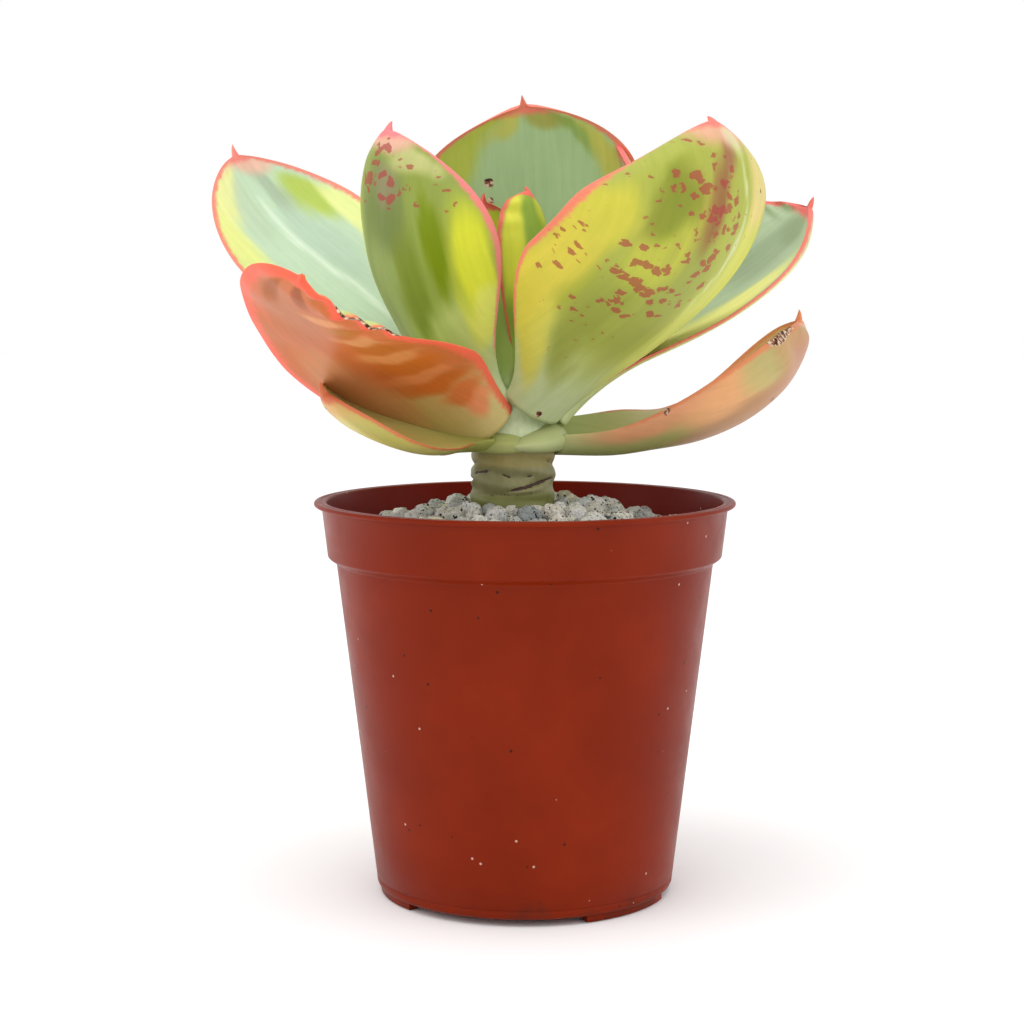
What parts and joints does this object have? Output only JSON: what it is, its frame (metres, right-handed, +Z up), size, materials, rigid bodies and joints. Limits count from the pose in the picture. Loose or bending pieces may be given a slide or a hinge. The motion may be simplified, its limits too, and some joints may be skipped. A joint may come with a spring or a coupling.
{
  "type": "potted succulent",
  "caption": "Live succulent with an open rosette of broad fleshy keeled leaves on a bare stem, in a round terracotta-coloured plastic nursery pot with pumice top dressing.",
  "frame": {"origin": "on the resting surface, on the pot's axis: the middle of the flat pad under the pot's base", "axes": "+Z up along the pot's axis, -Y towards the side that the picture shows, +X to that view's right"},
  "size_m": [0.151, 0.1605, 0.1975],
  "materials": {
    "pot_plastic": "moulded, semi-gloss terracotta colour",
    "leaf_skin": "waxy, satin, with coral margins",
    "stem_skin": "green-brown, matt, with leaf scars",
    "mix": "crumbly, matt",
    "pumice": "rough pale stone grains"
  },
  "bodies": {
    "root": {"pot": "pot_plastic", "potting_mix": "mix", "pumice_top_dressing": "pumice", "stem": "stem_skin", "leaf_left_low": "leaf_skin", "leaf_back_low": "leaf_skin", "leaf_right_low": "leaf_skin", "leaf_front_left_low": "leaf_skin", "leaf_back_right_low": "leaf_skin", "leaf_back_left_low": "leaf_skin", "leaf_right": "leaf_skin", "leaf_front_right": "leaf_skin", "leaf_back_right": "leaf_skin", "leaf_front_left": "leaf_skin", "leaf_back_left": "leaf_skin", "leaf_back": "leaf_skin", "leaf_centre_small": "leaf_skin", "leaf_centre_right": "leaf_skin", "leaf_centre_left": "leaf_skin"}
  },
  "joints": []
}
